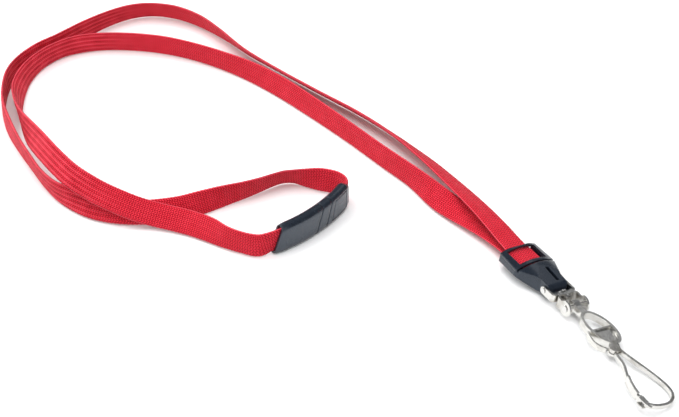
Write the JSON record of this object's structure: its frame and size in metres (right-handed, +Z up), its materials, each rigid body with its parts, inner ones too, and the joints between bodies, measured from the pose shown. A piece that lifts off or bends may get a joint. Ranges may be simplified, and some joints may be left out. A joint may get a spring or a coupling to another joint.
{
  "type": "neck lanyard with breakaway and swivel hook",
  "caption": "Flat braided neck lanyard with a curved pull-apart breakaway, a plastic strap adapter and a swivel snap hook for keys or a card.",
  "frame": {"origin": "on the surface that the lanyard lies on, at the middle of its outline", "axes": "+X from the strap's outer bend towards the hook, +Y away from the breakaway's side, +Z up from the surface"},
  "size_m": [0.2495, 0.2397, 0.0188],
  "materials": {
    "red_braid": "woven polyester braid, soft sheen",
    "black_plastic": "satin moulded plastic",
    "nickel_steel": "bright nickel plate on bent steel strip"
  },
  "bodies": {
    "strap_and_adapter": {"strap_front": "red_braid", "strap_back_inner": "red_braid", "strap_plug_tail": "red_braid", "strap_front_outer": "red_braid", "strap_back_outer": "red_braid", "strap_fold": "red_braid", "breakaway_socket": "black_plastic", "socket_clamp": "nickel_steel", "socket_collar": "black_plastic", "adapter_body": "black_plastic", "adapter_cover": "black_plastic", "strap_bar": "black_plastic", "nose_pin": "nickel_steel"},
    "plug_end": {"breakaway_plug": "black_plastic", "plug_lid": "black_plastic", "plug_clamp": "nickel_steel"},
    "bail_link": {"bail": "nickel_steel", "swivel_rivet": "nickel_steel"},
    "yoke_link": {"yoke": "nickel_steel", "yoke_pin": "nickel_steel"},
    "hook": {"hook_body": "nickel_steel", "gate_pin": "nickel_steel", "gate_spring": "nickel_steel"},
    "gate": {"hook_gate": "nickel_steel"}
  },
  "joints": [
    {"name": "breakaway_release", "type": "slide", "parent": "strap_and_adapter", "child": "plug_end", "axis": [0.682, 0.7314, 0], "range_m": [0, 0.014], "deforming": ["strap_plug_tail"]},
    {"name": "bail_swing", "type": "hinge", "parent": "strap_and_adapter", "child": "bail_link", "pos_m": [0.0894, -0.061, 0.0038], "axis": [-0.8352, -0.5219, 0.1736], "range_deg": [-75, 75]},
    {"name": "swivel_spin", "type": "hinge", "parent": "bail_link", "child": "yoke_link", "pos_m": [0.0894, -0.061, 0.0038], "axis": [0.5299, -0.848, 0], "continuous": true},
    {"name": "hook_swing", "type": "hinge", "parent": "yoke_link", "child": "hook", "pos_m": [0.09539, -0.07058, 0.0038], "axis": [-0.8352, -0.5219, 0.1736], "range_deg": [-75, 75]},
    {"name": "gate_open", "type": "hinge", "parent": "hook", "child": "gate", "pos_m": [0.10643, -0.09201, 0.00321], "axis": [0.1675, 0.0594, 0.9841], "range_deg": [0, 12], "stiffness_Nm_per_rad": 0.05, "springref_deg": -11.46}
  ]
}
